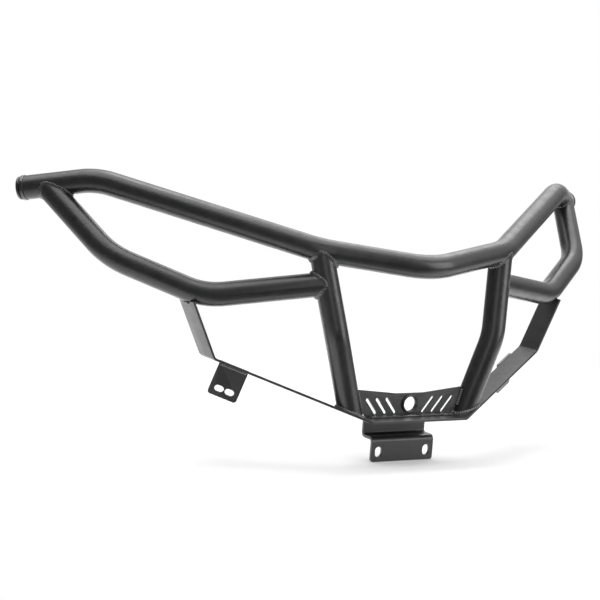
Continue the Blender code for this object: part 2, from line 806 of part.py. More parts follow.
def build():
    clear_scene()
    rail_clear = cutter("rail_clear", rod(rail_path(), TUBE_RADIUS + FITTING_GAP))
    bar_clear = cutter("bar_clear", flat_bar(FITTING_GAP))
    bar_below = cutter("bar_below", flat_bar(FITTING_GAP, CUT_REACH, TUBE_OD))
    face_clear = cutter("face_clear", face_backing())
    piece("top_rail", tube(rail_path()), TUBE_COAT)
    bar = piece("lower_bar", flat_bar(), PLATE_COAT)
    face = piece("face_plate", face_plate(), PLATE_COAT)
    bracket = piece("centre_bracket", centre_bracket(), PLATE_COAT)
    cut(face, cutter("face_vents", face_cuts()), cutter("face_hole", face_hole()))
    piece("hole_ring", hole_ring(), PLATE_COAT)
    cut(bracket, cutter("bracket_cuts", bracket_cuts()))
    for side, name in SIDES:
        upright_clear, side_clear = build_side(side, name, rail_clear, bar_clear, bar_below, face_clear)
        cut(face, upright_clear)
        cut(bar, side_clear)
    reach = ACROSS * (FOOT_SEAM_HALF_WIDTH + FOOT_SEAM_REACH * FOOT_SEAM_MITRE)
    ahead = -BACK * FOOT_SEAM_REACH
    bead = seam_bead(face_foot() - reach, face_foot() + reach, ahead, UP * FOOT_SEAM_RISE, FOOT_SEAM_MITRE)
    piece("face_foot_weld", bead, WELD_COAT)
    under = bracket_seam(BRACKET_FLANGE_FRONT, BAR_THICKNESS, -BACK, -UP, SEAM_SIZE)
    piece("bracket_front_weld", under, WELD_COAT)
    depth = BAR_THICKNESS + FITTING_GAP
    rear = bracket_seam(BAR_FRONT + BAR_WIDTH, depth, BACK, UP, EDGE_SEAM_SIZE)
    piece("bracket_rear_weld", rear, WELD_COAT)


build()
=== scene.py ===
"""The front bumper with its finishes: smooth bent tubes, soft-edged plates and rippled welds.

Sizes are in metres. Points are measured from the middle of the top rail, on the tube's axis,
and placed() moves them to the frame's origin on the centre bracket's rear face.
"""

import math

import bmesh
import bpy
from mathutils import Matrix, Quaternion, Vector
from mathutils.bvhtree import BVHTree


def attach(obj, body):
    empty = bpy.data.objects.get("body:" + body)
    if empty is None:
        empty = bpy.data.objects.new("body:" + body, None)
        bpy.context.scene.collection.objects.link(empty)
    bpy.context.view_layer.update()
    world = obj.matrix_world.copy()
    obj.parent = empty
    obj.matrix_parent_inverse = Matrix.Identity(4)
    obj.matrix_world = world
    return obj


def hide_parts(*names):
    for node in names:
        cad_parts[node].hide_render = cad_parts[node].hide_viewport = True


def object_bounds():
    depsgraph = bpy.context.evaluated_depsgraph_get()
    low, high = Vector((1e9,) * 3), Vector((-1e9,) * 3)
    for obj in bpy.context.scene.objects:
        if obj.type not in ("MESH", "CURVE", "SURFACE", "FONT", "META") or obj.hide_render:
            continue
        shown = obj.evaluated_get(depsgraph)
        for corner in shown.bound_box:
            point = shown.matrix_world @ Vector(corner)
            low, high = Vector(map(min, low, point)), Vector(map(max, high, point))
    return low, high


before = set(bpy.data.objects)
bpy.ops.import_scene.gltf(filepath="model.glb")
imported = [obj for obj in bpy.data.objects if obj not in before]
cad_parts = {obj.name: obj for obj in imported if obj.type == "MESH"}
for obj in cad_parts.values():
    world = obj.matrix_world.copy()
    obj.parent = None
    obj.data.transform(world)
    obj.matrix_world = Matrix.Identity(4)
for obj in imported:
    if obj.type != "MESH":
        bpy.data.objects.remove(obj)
cad_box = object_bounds()

MM = 0.001
QUARTER_TURN = math.pi / 2
BODY = "root"
SIDES = ((-1, "left"), (1, "right"))
ACROSS = Vector((1, 0, 0))
BACK = Vector((0, 1, 0))
UP = Vector((0, 0, 1))
ORIGIN = Vector((0, 38.8, -249.5)) * MM

# Round tube
TUBE_OD = 31.75 * MM
TUBE_RADIUS = TUBE_OD / 2
TUBE_FACETS = 64
TUBE_BEND_RADIUS = 100 * MM
TUBE_BEND_FACETS = 20
SOLID_BEND_STEP = math.radians(2)
TUBE_END_REACH = 0.51 * TUBE_OD
RAY_REACH = 2 * TUBE_OD

# Corners on the tubes' axes, on the right
RAIL_MIDDLE = Vector((0, 0, 0))
SHOULDER = Vector((144.5, 45.5, 17)) * MM
CORNER = Vector((377, 234, 83)) * MM
RAIL_END = CORNER + Vector((69, 65, -19)) * MM
KNEE = Vector((124, 23, -94)) * MM
ELBOW = Vector((378, 180, -9.5)) * MM
DIP = Vector((276.5, 106.5, -50.5)) * MM
SIDE_JOINT_FROM_END = 27.5 * MM
SIDE_JOINT_BELOW_SHOULDER = 44 * MM

# Flat bar under the uprights
BAR_WIDTH = 40.5 * MM
BAR_THICKNESS = 3.2 * MM
BAR_BEND_RADIUS = 6 * MM
BAR_EDGE_ROUNDING = 0.9 * MM
RAY_BAR_ROUNDING = 0.1 * MM
BAR_FLOOR = Vector((74.5, -2.5, -199.7)) * MM
BAR_TURN = Vector((258.5, 96.5, -130)) * MM
BAR_TOP_HALF_WIDTH = 293 * MM
BAR_NOTCH_DEPTH = 3 * MM
FOOT_HALF_WIDTH = 91.5 * MM
FOOT_SET_BACK = 29 * MM

# Face plate, raised ring and bracket
FACE_FRONT = 27 * MM
HOLE_HEIGHT = 15.8 * MM
HOLE_RADIUS = 9.75 * MM
HOLE_RING_RADIUS = 12.25 * MM
HOLE_RING_HEIGHT = 2.5 * MM
HOLE_RING_ROUNDING = 1 * MM
BRACKET_FLANGE_FRONT = 18 * MM
BRACKET_SEAM_LENGTH = 80 * MM

# Tabs
TAB_START = 153 * MM
TAB_WIDTH = 40.4 * MM
TAB_LEAN = math.radians(6)
SEAM_END_CLEARANCE = 2 * MM

# Plugs
PLUG_FLANGE_RADIUS = 16.8 * MM
PLUG_FLANGE_THICKNESS = 4.5 * MM
PLUG_GROOVE_RADIUS = 13.4 * MM
PLUG_GROOVE_WIDTH = 2 * MM
PLUG_HEAD_RADIUS = 15.5 * MM
PLUG_HEAD_THICKNESS = 4 * MM
PLUG_HEAD_ROUNDING = 2.5 * MM
PLUG_EDGE_ROUNDING = 0.8 * MM
PLUG_DISH = 1.2 * MM
TURNED_FACETS = 72

# Edges of the sheet parts, and what counts as flat, sharp or one point
FITTING_GAP = 0.3 * MM
PLATE_EDGE = 0.4 * MM
BRACKET_EDGE = 0.9 * MM
EDGE_SEGMENTS = 3
EDGE_ANGLE = math.radians(30)
SHARP_ANGLE = math.radians(40)
FLAT_ANGLE = math.radians(0.5)
SAME_POINT = 0.001 * MM
LEVEL_WEIGHT = 100

# Welds
BEAD_REACH = 4.1 * MM
SMALL_BEAD_RADIUS = 3 * MM
BEAD_INSET = 1 * MM
BEAD_POINTS = 96
BEAD_FACETS = 16
CORNER_FACETS = 9
SEAM_SIZE = 4 * MM
EDGE_SEAM_SIZE = 3 * MM
FACE_BEAD_BOTTOM = 12 * MM
FACE_BEAD_TOP = 34 * MM
FOOT_SEAM_RISE = 2 * MM
FOOT_SEAM_REACH = 10.8 * MM
FOOT_SEAM_HALF_WIDTH = 64 * MM
FOOT_SEAM_FULLNESS = 0.5
ARC_STEPS = 6

# Ripples on the welds: their pitch, depth and form, and how they wander along the weld
BEAD_RIPPLE = 3 * MM
SMALL_BEAD_RIPPLE = 2.8 * MM
RING_RIPPLE_DEPTH = 0.2
SEAM_RIPPLE_DEPTH = 0.34
RIPPLE_POINTS = 8
RIPPLE_ROUNDNESS = 0.7
RIPPLE_BOW = 0.55
RIPPLE_UNEVENNESS = 0.26
RIPPLE_WANDER = 0.35
PITCH_WANDER = 2

# Where each weld's wandering starts, so that they differ
WELD_SEEDS = {
    "left_upright_rail": 10,
    "left_side_rail": 11,
    "left_side_upright": 12,
    "left_foot": 13,
    "left_face": 15,
    "left_bar_inner": 16,
    "left_bar_outer": 16,
    "left_tab": 18,
    "right_upright_rail": 25,
    "right_side_rail": 26,
    "right_side_upright": 27,
    "right_foot": 28,
    "right_face": 30,
    "right_bar_inner": 31,
    "right_bar_outer": 31,
    "right_tab": 33,
    "face_foot": 40,
    "bracket_front": 41,
    "bracket_rear": 42,
}

# Names under which a weld's line carries the two directions across it
DIRECTIONS = ("first", "second")

# Finishes: roughness and how far it wanders, the grain's height and sizes, and amounts of
# settled dust, of pale edges (partly a thinner coat, partly a painted highlight) and of clear gloss
# on top
BLACK = (0.010, 0.010, 0.0105)
GRAINED = {
    "Grit Size": 0.8 * MM, "Peel Size": 3.5 * MM, "Peel Share": 0.85, "Mottle Size": 14 * MM,
}
SMOOTH = {
    "Grit Size": 0.5 * MM, "Peel Size": 3 * MM, "Peel Share": 0.8, "Mottle Size": 18 * MM,
}
COATS = {
    "tube_coat": {
        "colour": BLACK, "roughness": 0.41, "wander": 0.08, "height": 0.4 * MM,
        "sizes": GRAINED, "dust": 0.05, "edges": 0.0, "gloss": 0.5,
    },
    "plate_coat": {
        "colour": BLACK, "roughness": 0.43, "wander": 0.06, "height": 0.2 * MM,
        "sizes": GRAINED, "dust": 0.04, "edges": 0.3, "gloss": 0.45,
    },
    # The welds carry the same black coat; their lighter colour is a painted highlight
    "weld_coat": {
        "colour": (0.030, 0.030, 0.031), "roughness": 0.25, "wander": 0.05, "height": 0.16 * MM,
        "sizes": GRAINED, "dust": 0.04, "edges": 0.9, "gloss": 1.0,
    },
    "plug_plastic": {
        "colour": (0.008, 0.008, 0.0085), "roughness": 0.16, "wander": 0.04, "height": 0.03 * MM,
        "sizes": SMOOTH, "dust": 0.05, "edges": 0.3, "gloss": 1.0,
    },
}

# Shared by all finishes: refraction, gloss on top, mottle, dust and pale edges, which are partly a
# painted highlight
COAT_INDEX = 1.5
GLOSS_ROUGHNESS = 0.22
MOTTLE_RANGE = (0.3, 0.7)
MOTTLE_TINTS = (0.88, 1.12)
DUST_SPECK = 2.5 * MM
DUST_SLOPE_RANGE = (0.1, 1.0)
DUST_SPECK_RANGE = (0.48, 0.72)
DUST_COLOUR = (0.12, 0.117, 0.113, 1)
# Pale edges and crests: partly a thinner coat, partly a painted highlight on convex edges and weld
# ripples
PALE_EDGE_HIGHLIGHT_START = 0.51
PALE_EDGE_HIGHLIGHT_SPAN = 0.06
PALE_EDGE_HIGHLIGHT_COLOUR = (0.09, 0.09, 0.092, 1)

# Camera, in the frame's own axes
CAMERA_PLACE = Vector((-1.4682, -2.1274, 0.5425))
CAMERA_RIGHT = Vector((0.8572, -0.5094, 0.0750))
CAMERA_UP = Vector((0.0052, 0.1542, 0.9880))
LENS = 118.26
SENSOR_WIDTH = 36
FARTHEST = 50

# Floor: its own glow to the camera and in reflections, where each turns plain with distance,
# the plain level away from the backdrop, and how much darker reflections of the front are
FLOOR_HALF_SIZE = 12
FLOOR_PAINT = (0.8, 0.8, 0.8, 1)
FLOOR_CENTRE = (0, 0.15, 0)
FLOOR_SEEN_FADE = (0.55, 0.9)
FLOOR_SHEEN_FADE = (0.5, 1.2)
FLOOR_GLOW = 0.21
FLOOR_SHEEN = 0.7
FLOOR_FAR = 0.22
FRONT_SHADE = 0.9

# The sky's level for matt surfaces, and in reflections away from its bright sides
SKY_PLAIN = 0.45
SKY_DIM = 0.17

# Sides that reflections see brighter or darker, and how near a ray comes at the change's ends
OVERHEAD = (Vector((0.35, 0.1, 1)), 0.25, 1.05)
BACKDROP = (Vector((0.5, 0.86, 0)), 0.8, 0.98)
FRONT = (Vector((-0.03, -0.90, -0.43)), 0.65, 0.95)

# Lamps: name, place, target, width, height and watts
LAMP_TARGET = (0, 0.1, 0.15)
SOFTBOXES = (
    ("top_softbox", (0, 0.5, 2.4), LAMP_TARGET, 4.0, 3.0, 63),
    ("rear_softbox", (1.6, 1.5, 1.8), LAMP_TARGET, 1.2, 1.4, 6),
    ("front_softbox", (1.7, -1.75, 0.95), LAMP_TARGET, 1.4, 1.8, 24),
    ("key_softbox", (0.1, 0.8, 2.3), LAMP_TARGET, 0.5, 0.5, 4),
    ("fill_softbox", (-0.3, -0.62, 0.46), (0.13, 0.03, 0.2), 0.35, 0.6, 0.6),
)


# Node trees


def new_tree(name, kind, entries, results):
    """A node group with these named inputs and outputs, and its two end nodes."""
    tree = bpy.data.node_groups.new(name, kind)
    for label, socket in entries:
        tree.interface.new_socket(label, in_out="INPUT", socket_type=socket)
    for label, socket in results:
        tree.interface.new_socket(label, in_out="OUTPUT", socket_type=socket)
    return tree, tree.nodes.new("NodeGroupInput").outputs, tree.nodes.new("NodeGroupOutput").inputs


def fill(tree, node, entries):
    """Links a node's inputs to sockets or gives them values."""
    for key, value in entries.items():
        if isinstance(value, bpy.types.NodeSocket):
            tree.links.new(value, node.inputs[key])
        else:
            node.inputs[key].default_value = value


def add_node(tree, kind, entries=None, **settings):
    """A node with these settings, whose inputs are then filled."""
    made = tree.nodes.new(kind)
    for name, value in settings.items():
        setattr(made, name, value)
    fill(tree, made, entries or {})
    return made


def maths(tree, operation, *values):
    entries = dict(enumerate(values))
    return add_node(tree, "ShaderNodeMath", entries, operation=operation).outputs[0]


def vector_maths(tree, operation, entries, result="Vector"):
    return add_node(tree, "ShaderNodeVectorMath", entries, operation=operation).outputs[result]


def ranged(tree, value, start, end, low=0.0, high=1.0, form="LINEAR"):
    """Goes from low to high while the value goes from start to end."""
    entries = {"Value": value, "From Min": start, "From Max": end, "To Min": low, "To Max": high}
    return add_node(tree, "ShaderNodeMapRange", entries, interpolation_type=form).outputs[0]


def captured(tree, geometry, fields):
    """The outputs, by name, of a geometry and of the fields whose values it now carries."""
    made = add_node(tree, "GeometryNodeCaptureAttribute", {"Geometry": geometry})
    for name, (kind, source) in fields.items():
        made.capture_items.new(kind, name)
        tree.links.new(source, made.inputs[name])
    return made.outputs


def finish_mesh(tree, geometry, finish, result):
    """Ends a tree: smooth faces, instances made real, material set."""
    smooth = add_node(tree, "GeometryNodeSetShadeSmooth", {"Geometry": geometry})
    real = add_node(tree, "GeometryNodeRealizeInstances", {"Geometry": smooth.outputs[0]})
    entries = {"Geometry": real.outputs[0], "Material": finish}
    tree.links.new(add_node(tree, "GeometryNodeSetMaterial", entries).outputs[0], result)


def tube_tree():
    """Bends a line of corners and draws a round tube along it."""
    entries = [
        ("Corners", "NodeSocketGeometry"),
        ("Diameter", "NodeSocketFloat"),
        ("Bend Radius", "NodeSocketFloat"),
        ("Facets", "NodeSocketInt"),
        ("Bend Facets", "NodeSocketInt"),
        ("Finish", "NodeSocketMaterial"),
    ]
    tree, given, result = new_tree(
        "bent_tube", "GeometryNodeTree", entries, [("Tube", "NodeSocketGeometry")]
    )
    line = add_node(tree, "GeometryNodeMeshToCurve", {"Mesh": given["Corners"]}).outputs[0]
    entries = {"Curve": line, "Count": given["Bend Facets"], "Radius": given["Bend Radius"]}
    bent = add_node(tree, "GeometryNodeFilletCurve", entries, mode="POLY").outputs[0]
    radius = maths(tree, "MULTIPLY", given["Diameter"], 0.5)
    entries = {"Resolution": given["Facets"], "Radius": radius}
    section = add_node(tree, "GeometryNodeCurvePrimitiveCircle", entries).outputs[0]
    entries = {"Curve": bent, "Profile Curve": section, "Fill Caps": True}
    skin = add_node(tree, "GeometryNodeCurveToMesh", entries).outputs[0]
    finish_mesh(tree, skin, given["Finish"], result["Tube"])
    return tree


def ripple_swell(tree, given, share, ripples, spot):
    """How full a weld is at a share of its length and a spot of its section.

    The ripples bow, because the sides lag behind the crown, and their size and pitch wander.
    """
    crown = maths(tree, "MULTIPLY", maths(tree, "ADD", spot[0], spot[1]), math.sqrt(0.5))
    lag = maths(tree, "MULTIPLY", maths(tree, "SUBTRACT", 1.0, crown), given["Bow"])
    entries = {
        "W": maths(tree, "ADD", maths(tree, "MULTIPLY", share, ripples), given["Seed"]),
        "Scale": RIPPLE_WANDER,
        "Detail": 1.0,
    }
    wander = add_node(tree, "ShaderNodeTexNoise", entries, noise_dimensions="1D").outputs[0]
    uneven = maths(tree, "MULTIPLY", maths(tree, "SUBTRACT", wander, 0.5), given["Unevenness"])
    phase = maths(tree, "MULTIPLY_ADD", share, ripples, lag)
    phase = maths(tree, "MULTIPLY_ADD", uneven, PITCH_WANDER, phase)
    wave = maths(tree, "ABSOLUTE", maths(tree, "SINE", maths(tree, "MULTIPLY", phase, math.pi)))
    valley = maths(tree, "SUBTRACT", 1.0, maths(tree, "POWER", wave, RIPPLE_ROUNDNESS))
    swell = maths(tree, "SUBTRACT", 1.0, maths(tree, "MULTIPLY", valley, given["Ripple Depth"]))
    return maths(tree, "MULTIPLY", swell, maths(tree, "ADD", 1.0, uneven))


def bead_tree():
    """Draws a rippled weld along a line whose points carry the two directions across it.

    A round bead has a full circle as its section, and a corner bead a quarter of one.
    """
    entries = [
        ("Line", "NodeSocketGeometry"),
        ("First Width", "NodeSocketFloat"),
        ("Second Width", "NodeSocketFloat"),
        ("Corner", "NodeSocketBool"),
        ("Ripple", "NodeSocketFloat"),
        ("Ripple Depth", "NodeSocketFloat"),
        ("Fullness", "NodeSocketFloat"),
        ("Bow", "NodeSocketFloat"),
        ("Unevenness", "NodeSocketFloat"),
        ("Seed", "NodeSocketFloat"),
        ("Finish", "NodeSocketMaterial"),
    ]
    tree, given, result = new_tree(
        "weld_bead", "GeometryNodeTree", entries, [("Bead", "NodeSocketGeometry")]
    )
    line = add_node(tree, "GeometryNodeMeshToCurve", {"Mesh": given["Line"]}).outputs[0]
    length = add_node(tree, "GeometryNodeCurveLength", {"Curve": line}).outputs[0]
    ripples = maths(tree, "ROUND", maths(tree, "DIVIDE", length, given["Ripple"]))
    count = maths(tree, "MULTIPLY", ripples, RIPPLE_POINTS)
    line = add_node(tree, "GeometryNodeResampleCurve", {"Curve": line, "Count": count}).outputs[0]
    place = add_node(tree, "GeometryNodeInputPosition").outputs[0]
    share = add_node(tree, "GeometryNodeSplineParameter").outputs["Factor"]
    fields = {"share": ("FLOAT", share), "place": ("VECTOR", place)}
    kind = "GeometryNodeInputNamedAttribute"
    for name in DIRECTIONS:
        vector = add_node(tree, kind, {"Name": name}, data_type="FLOAT_VECTOR")
        fields[name] = ("VECTOR", vector.outputs["Attribute"])
    along = captured(tree, line, fields)
    entries = {"Resolution": BEAD_FACETS, "Radius": 1.0}
    circle = add_node(tree, "GeometryNodeCurvePrimitiveCircle", entries).outputs[0]
    entries = {
        "Resolution": CORNER_FACETS,
        "Radius": 1.0,
        "Sweep Angle": QUARTER_TURN,
        "Connect Center": True,
    }
    quarter = add_node(tree, "GeometryNodeCurveArc", entries).outputs[0]
    entries = {"Switch": given["Corner"], "False": circle, "True": quarter}
    section = add_node(tree, "GeometryNodeSwitch", entries, input_type="GEOMETRY").outputs[0]
    across = captured(tree, section, {"spot": ("VECTOR", place)})
    entries = {"Curve": along[0], "Profile Curve": across[0], "Fill Caps": True}
    skin = add_node(tree, "GeometryNodeCurveToMesh", entries).outputs[0]
    spot = add_node(tree, "ShaderNodeSeparateXYZ", {0: across["spot"]}).outputs
    swell = ripple_swell(tree, given, along["share"], ripples, spot)
    widths = (given["First Width"], given["Second Width"])
    shifts = []
    for name, distance, width in zip(DIRECTIONS, spot, widths):
        size = maths(tree, "POWER", maths(tree, "ABSOLUTE", distance), given["Fullness"])
        signed = maths(tree, "MULTIPLY", size, maths(tree, "SIGN", distance))
        reach = maths(tree, "MULTIPLY", maths(tree, "MULTIPLY", signed, width), swell)
        shifts.append(vector_maths(tree, "SCALE", {0: along[name], "Scale": reach}))
    shift = vector_maths(tree, "ADD", {0: shifts[0], 1: shifts[1]})
    place = vector_maths(tree, "ADD", {0: along["place"], 1: shift})
    entries = {"Geometry": skin, "Position": place}
    skin = add_node(tree, "GeometryNodeSetPosition", entries).outputs[0]
    finish_mesh(tree, skin, given["Finish"], result["Bead"])
    return tree


# Finishes


def grain_group():
    """Cured powder: a fine grit over a soft orange peel, and slow changes of gloss."""
    entries = [
        ("Vector", "NodeSocketVector"),
        ("Grit Size", "NodeSocketFloat"),
        ("Peel Size", "NodeSocketFloat"),
        ("Peel Share", "NodeSocketFloat"),
        ("Mottle Size", "NodeSocketFloat"),
    ]
    results = [("Height", "NodeSocketFloat"), ("Mottle", "NodeSocketFloat")]
    tree, given, result = new_tree("powder_grain", "ShaderNodeTree", entries, results)
    noises = []
    for label, detail in (("Grit Size", 2.0), ("Peel Size", 1.0), ("Mottle Size", 3.0)):
        scale = maths(tree, "DIVIDE", 1.0, given[label])
        entries = {"Vector": given["Vector"], "Scale": scale, "Detail": detail}
        noises.append(add_node(tree, "ShaderNodeTexNoise", entries).outputs[0])
    peel = maths(tree, "SUBTRACT", noises[1], noises[0])
    peel = maths(tree, "MULTIPLY", peel, given["Peel Share"])
    tree.links.new(maths(tree, "ADD", noises[0], peel), result["Height"])
    tree.links.new(ranged(tree, noises[2], *MOTTLE_RANGE), result["Mottle"])
    return tree


def dust_group():
    """Fine dust that settles on faces that look up."""
    entries = [
        ("Vector", "NodeSocketVector"),
        ("Speck Size", "NodeSocketFloat"),
        ("Amount", "NodeSocketFloat"),
    ]
    tree, given, result = new_tree(
        "settled_dust", "ShaderNodeTree", entries, [("Mask", "NodeSocketFloat")]
    )
    facing = add_node(tree, "ShaderNodeNewGeometry").outputs["Normal"]
    upward = add_node(tree, "ShaderNodeSeparateXYZ", {0: facing}).outputs[2]
    upward = ranged(tree, upward, *DUST_SLOPE_RANGE)
    scale = maths(tree, "DIVIDE", 1.0, given["Speck Size"])
    entries = {"Vector": given["Vector"], "Scale": scale, "Detail": 4.0, "Roughness": 0.7}
    specks = add_node(tree, "ShaderNodeTexNoise", entries).outputs[0]
    specks = ranged(tree, specks, *DUST_SPECK_RANGE)
    mask = maths(tree, "MULTIPLY", maths(tree, "MULTIPLY", upward, specks), given["Amount"])
    tree.links.new(mask, result["Mask"])
    return tree


def pale_edge_and_highlight_group():
    """Pale outer edges and crests: partly a thinner coat there, partly a painted highlight."""
    entries = [("Start", "NodeSocketFloat"), ("Amount", "NodeSocketFloat")]
    tree, given, result = new_tree(
        "thin_edges_and_painted_highlights", "ShaderNodeTree", entries, [("Mask", "NodeSocketFloat")]
    )
    pointed = add_node(tree, "ShaderNodeNewGeometry").outputs["Pointiness"]
    end = maths(tree, "ADD", given["Start"], PALE_EDGE_HIGHLIGHT_SPAN)
    mask = ranged(tree, pointed, given["Start"], end)
    tree.links.new(maths(tree, "MULTIPLY", mask, given["Amount"]), result["Mask"])
    return tree


def mixed(tree, factor, first, second):
    """Two colours mixed, in the sockets that the node has for colours."""
    entries = {0: factor, 6: first, 7: second}
    return add_node(tree, "ShaderNodeMix", entries, data_type="RGBA").outputs[2]


def coat_material(name, groups, colour, roughness, wander, height, sizes, dust, edges, gloss):
    """A coated surface: colour with dust and pale edges (partly a painted highlight), mottled gloss
    and a grained bump.
    """
    grain, dusting, paleness_and_highlight_group = groups
    material = bpy.data.materials.new(name)
    material.use_nodes = True
    tree = material.node_tree
    place = add_node(tree, "ShaderNodeTexCoord").outputs["Object"]
    entries = {"Vector": place, **sizes}
    coat = add_node(tree, "ShaderNodeGroup", entries, node_tree=grain).outputs
    entries = {"Vector": place, "Speck Size": DUST_SPECK, "Amount": dust}
    settled = add_node(tree, "ShaderNodeGroup", entries, node_tree=dusting).outputs["Mask"]
    # Pale edges and crests: partly a thinner coat, partly a painted highlight
    entries = {"Start": PALE_EDGE_HIGHLIGHT_START, "Amount": edges}
    edge_paleness_and_highlight = add_node(tree, "ShaderNodeGroup", entries, node_tree=paleness_and_highlight_group).outputs["Mask"]
    tints = [(*[part * share for part in colour], 1) for share in MOTTLE_TINTS]
    tint = mixed(tree, coat["Mottle"], *tints)
    tint = mixed(tree, settled, tint, DUST_COLOUR)
    tint = mixed(tree, edge_paleness_and_highlight, tint, PALE_EDGE_HIGHLIGHT_COLOUR)
    entries = {"Height": coat["Height"], "Distance": height, "Strength": 1.0}
    relief = add_node(tree, "ShaderNodeBump", entries).outputs[0]
    entries = {
        "Base Color": tint,
        "Roughness": ranged(tree, coat["Mottle"], 0.0, 1.0, roughness - wander, roughness + wander),
        "Normal": relief,
        "IOR": COAT_INDEX,
        "Coat Weight": gloss,
        "Coat Roughness": min(GLOSS_ROUGHNESS, roughness / 2),
    }
    fill(tree, tree.nodes["Principled BSDF"], entries)
    return material


def make_finishes():
    groups = (grain_group(), dust_group(), pale_edge_and_highlight_group())
    return {name: coat_material(name, groups, **values) for name, values in COATS.items()}


# Meshes and pieces


def line_mesh(points, is_loop=False, directions=()):
    """A mesh of edges only, with a named direction at each point for a weld's section."""
    edges = [(index, index + 1) for index in range(len(points) - 1)]
    if is_loop:
        edges.append((len(points) - 1, 0))
    mesh = bpy.data.meshes.new("line")
    mesh.from_pydata([tuple(point) for point in points], edges, [])
    for name, vectors in directions:
        stored = mesh.attributes.new(name, "FLOAT_VECTOR", "POINT")
        stored.data.foreach_set("vector", [part for vector in vectors for part in vector])
    return mesh


def clean(mesh, angle=0.0):
    """Joins points that coincide and faces that meet within this angle, and turns all outwards."""
    bm = bmesh.new()
    bm.from_mesh(mesh)
    bmesh.ops.remove_doubles(bm, verts=bm.verts, dist=SAME_POINT)
    if angle:
        bmesh.ops.dissolve_limit(bm, angle_limit=angle, verts=bm.verts, edges=bm.edges)
    bmesh.ops.recalc_face_normals(bm, faces=bm.faces)
    bm.to_mesh(mesh)
    bm.free()


def grown(name, mesh, tree, values):
    """What the node tree makes of this mesh, as a plain mesh with its faces outwards."""
    source = bpy.data.objects.new(name + "_source", mesh)
    bpy.context.scene.collection.objects.link(source)
    modifier = source.modifiers.new("grow", "NODES")
    modifier.node_group = tree
    for item in tree.interface.items_tree:
        if item.in_out == "INPUT" and item.name in values:
            modifier[item.identifier] = values[item.name]
    graph = bpy.context.evaluated_depsgraph_get()
    made = bpy.data.meshes.new_from_object(source.evaluated_get(graph), depsgraph=graph)
    bpy.data.objects.remove(source, do_unlink=True)
    for stored in list(made.attributes):
        if stored.name in DIRECTIONS:
            made.attributes.remove(stored)
    clean(made)
    return made


def smooth_mesh(name, bm):
    """A smooth mesh of this body, whose corners stay sharp."""
    mesh = bpy.data.meshes.new(name)
    bm.to_mesh(mesh)
    bm.free()
    mesh.shade_smooth()
    mesh.set_sharp_from_angle(angle=SHARP_ANGLE)
    return mesh


def dress(name, node, mesh, finish):
    """A finished piece that stands for this CAD node."""
    mesh.name = name
    mesh.materials.clear()
    mesh.materials.append(finishes[finish])
    obj = bpy.data.objects.new(name, mesh)
    bpy.context.scene.collection.objects.link(obj)
    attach(obj, BODY)
    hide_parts(node)
    return obj


def placed(point):
    return point - ORIGIN


def mirrored(point, side):
    """A piece is drawn on the right and turned over for the left."""
    return Vector((point.x * side, point.y, point.z))


# Paths, as in the bumper's source


def towards(start, end, distance):
    return start + (end - start).normalized() * distance


def nearest_between(start, end, target):
    run = end - start
    share = (target - start).dot(run) / run.length_squared
    return start.lerp(end, min(1, max(0, share)))


def bent_path(corners, radius):
    """(point, direction) along these corners, with an arc of this radius at each inner one."""
    path = [(corners[0], (corners[1] - corners[0]).normalized())]
    for before, corner, after in zip(corners, corners[1:], corners[2:]):
        arriving = (corner - before).normalized()
        leaving = (after - corner).normalized()
        turn = arriving.angle(leaving)
        centre = corner + (leaving - arriving).normalized() * radius / math.cos(turn / 2)
        start = corner - arriving * radius * math.tan(turn / 2) - centre
        steps = max(2, math.ceil(turn / SOLID_BEND_STEP))
        for step in range(steps + 1):
            turning = Quaternion(arriving.cross(leaving), turn * step / steps)
            path.append((centre + turning @ start, turning @ arriving))
    path.append((corners[-1], (corners[-1] - corners[-2]).normalized()))
    return path


def nearest_on(path, target):
    places = []
    for (start, _), (end, _) in zip(path, path[1:]):
        places.append(nearest_between(start, end, target))
    return min(places, key=lambda place: (place - target).length)


def at_half_width(path, half_width):
    """The place of a bent path that lies this far from the middle."""
    for (start, _), (end, _) in zip(path, path[1:]):
        if min(start.x, end.x) <= half_width <= max(start.x, end.x):
            return start.lerp(end, (half_width - start.x) / (end.x - start.x))
    return path[-1][0]


def rail_corners():
    right = [SHOULDER, CORNER, RAIL_END]
    left = [mirrored(corner, -1) for corner in reversed(right)]
    return left + [RAIL_MIDDLE] + right


def foot_corner():
    climb = (BAR_TURN.z - BAR_FLOOR.z) / (BAR_TURN.x - BAR_FLOOR.x)
    height = BAR_FLOOR.z + (FOOT_HALF_WIDTH - BAR_FLOOR.x) * climb
    return Vector((FOOT_HALF_WIDTH, FOOT_SET_BACK, height))


def upright_top():
    return nearest_on(bent_path(rail_corners(), TUBE_BEND_RADIUS), SHOULDER)


def upright_corners():
    return [upright_top(), KNEE, towards(foot_corner(), KNEE, -TUBE_OD)]


def side_corners():
    on_rail = towards(RAIL_END, CORNER, SIDE_JOINT_FROM_END)
    on_upright = towards(upright_top(), KNEE, SIDE_JOINT_BELOW_SHOULDER)
    return [on_rail, ELBOW, DIP, on_upright]


def bar_corners():
    """Front edge of the upper face at the bends of the right half, and at its end."""
    over = at_half_width(bent_path(side_corners(), TUBE_BEND_RADIUS), BAR_TOP_HALF_WIDTH)
    return BAR_FLOOR, BAR_TURN, over + Vector((0, -BAR_WIDTH / 2, BAR_NOTCH_DEPTH - TUBE_RADIUS))


def bar_front_beside(point, corners):
    """How far back the bar's front edge is at a point of its outline, as seen from the front."""
    floor, turn, top = corners
    seen = Vector((abs(point.x), 0, point.z))
    places = []
    for start, end in ((Vector((0, floor.y, floor.z)), floor), (floor, turn), (turn, top)):
        flat_start = Vector((start.x, 0, start.z))
        flat_end = Vector((end.x, 0, end.z))
        place = nearest_between(flat_start, flat_end, seen)
        share = (place - flat_start).length / (flat_end - flat_start).length
        places.append(((place - seen).length, start.lerp(end, share).y))
    return min(places)[1]


